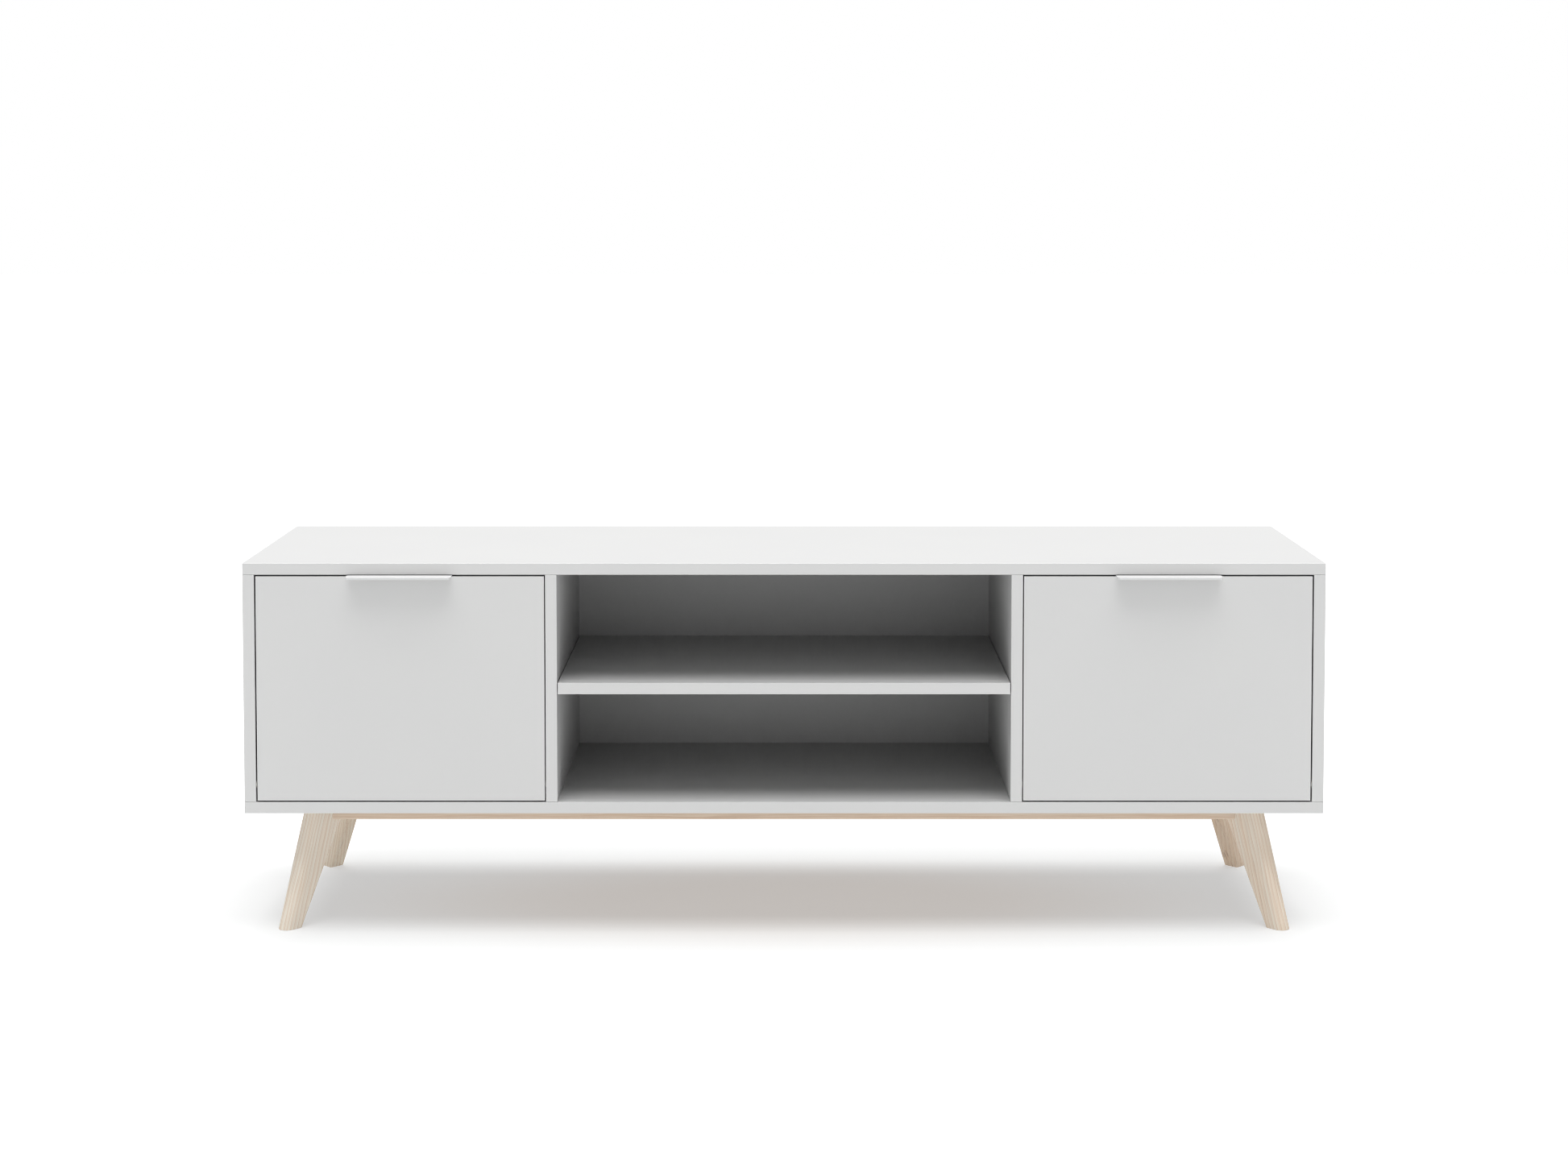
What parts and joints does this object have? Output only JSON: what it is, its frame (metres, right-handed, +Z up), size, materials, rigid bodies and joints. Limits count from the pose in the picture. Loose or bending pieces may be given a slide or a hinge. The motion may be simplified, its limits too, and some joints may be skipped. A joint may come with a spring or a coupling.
{
  "type": "tv stand with doors",
  "caption": "Low media stand in white board: open niche with a shelf between drop-down flap doors with lip pulls, on a splayed pale wood base.",
  "frame": {"origin": "on the floor, under the middle of the stand's overall box, pulls included", "axes": "+X to the right seen from the front, along the stand's length; +Y to the back; +Z up"},
  "size_m": [1.5, 0.42, 0.52],
  "materials": {
    "white_melamine": "melamine-faced particle board, satin white",
    "white_fibreboard": "hard fibreboard, white foil",
    "pale_wood": "solid pale wood, matt clear lacquer",
    "beech_dowel": "raw beech",
    "white_lacquered_steel": "white powder coat, satin",
    "zinc_plated_steel": "bright zinc plating",
    "zinc_die_casting": "tumbled die casting",
    "nylon": "moulded nylon",
    "ferrite": "sintered ferrite"
  },
  "bodies": {
    "carcass": {"back_panel": "white_fibreboard", "base_dowels": "beech_dowel", "base_screws": "zinc_plated_steel", "bottom_panel": "white_melamine", "cam_bolts": "zinc_plated_steel", "cam_locks": "zinc_die_casting", "carcass_dowels": "beech_dowel", "catch_magnets": "ferrite", "catch_screws": "zinc_plated_steel", "front_rail": "pale_wood", "hinge_bushes": "nylon", "left_catch_body": "nylon", "left_cross_rail": "pale_wood", "left_divider": "white_melamine", "left_front_leg": "pale_wood", "left_rear_leg": "pale_wood", "left_side_panel": "white_melamine", "left_stay_plate": "zinc_plated_steel", "rear_rail": "pale_wood", "right_catch_body": "nylon", "right_cross_rail": "pale_wood", "right_divider": "white_melamine", "right_front_leg": "pale_wood", "right_rear_leg": "pale_wood", "right_side_panel": "white_melamine", "right_stay_plate": "zinc_plated_steel", "shelf": "white_melamine", "shelf_pins": "zinc_plated_steel", "stay_plate_screws": "zinc_plated_steel", "top_panel": "white_melamine"},
    "left_flap": {"left_door": "white_melamine", "left_handle": "white_lacquered_steel", "left_handle_screws": "zinc_plated_steel", "left_hinge_pins": "zinc_plated_steel", "left_flap_bracket": "zinc_plated_steel", "left_bracket_screws": "zinc_plated_steel", "left_strike_plate": "zinc_plated_steel", "left_strike_screws": "zinc_plated_steel"},
    "left_rod": {"left_stay_rod": "zinc_plated_steel"},
    "left_swivel": {"left_stay_housing": "zinc_die_casting", "left_brake_screw": "zinc_plated_steel"},
    "right_flap": {"right_door": "white_melamine", "right_handle": "white_lacquered_steel", "right_handle_screws": "zinc_plated_steel", "right_hinge_pins": "zinc_plated_steel", "right_flap_bracket": "zinc_plated_steel", "right_bracket_screws": "zinc_plated_steel", "right_strike_plate": "zinc_plated_steel", "right_strike_screws": "zinc_plated_steel"},
    "right_rod": {"right_stay_rod": "zinc_plated_steel"},
    "right_swivel": {"right_stay_housing": "zinc_die_casting", "right_brake_screw": "zinc_plated_steel"}
  },
  "joints": [
    {"name": "left_flap_hinge", "type": "hinge", "parent": "carcass", "child": "left_flap", "pos_m": [-0.5322, -0.182, 0.2098], "axis": [1, 0, 0], "range_deg": [0, 90]},
    {"name": "left_rod_pivot", "type": "hinge", "parent": "left_flap", "child": "left_rod", "pos_m": [-0.72, -0.16001, 0.38891], "axis": [1, 0, 0], "range_deg": [-45, 0]},
    {"name": "left_housing_swivel", "type": "hinge", "parent": "carcass", "child": "left_swivel", "pos_m": [-0.72, -0.0398, 0.3209], "axis": [1, 0, 0], "range_deg": [0, 45]},
    {"name": "right_flap_hinge", "type": "hinge", "parent": "carcass", "child": "right_flap", "pos_m": [0.5322, -0.182, 0.2098], "axis": [1, 0, 0], "range_deg": [0, 90]},
    {"name": "right_rod_pivot", "type": "hinge", "parent": "right_flap", "child": "right_rod", "pos_m": [0.72, -0.16001, 0.38891], "axis": [1, 0, 0], "range_deg": [-45, 0]},
    {"name": "right_housing_swivel", "type": "hinge", "parent": "carcass", "child": "right_swivel", "pos_m": [0.72, -0.0398, 0.3209], "axis": [1, 0, 0], "range_deg": [0, 45]}
  ],
  "couplings": [
    {"joint": "left_rod_pivot", "follows": "left_flap_hinge", "ratio": -0.5},
    {"joint": "left_housing_swivel", "follows": "left_flap_hinge", "ratio": 0.5},
    {"joint": "right_rod_pivot", "follows": "right_flap_hinge", "ratio": -0.5},
    {"joint": "right_housing_swivel", "follows": "right_flap_hinge", "ratio": 0.5}
  ]
}
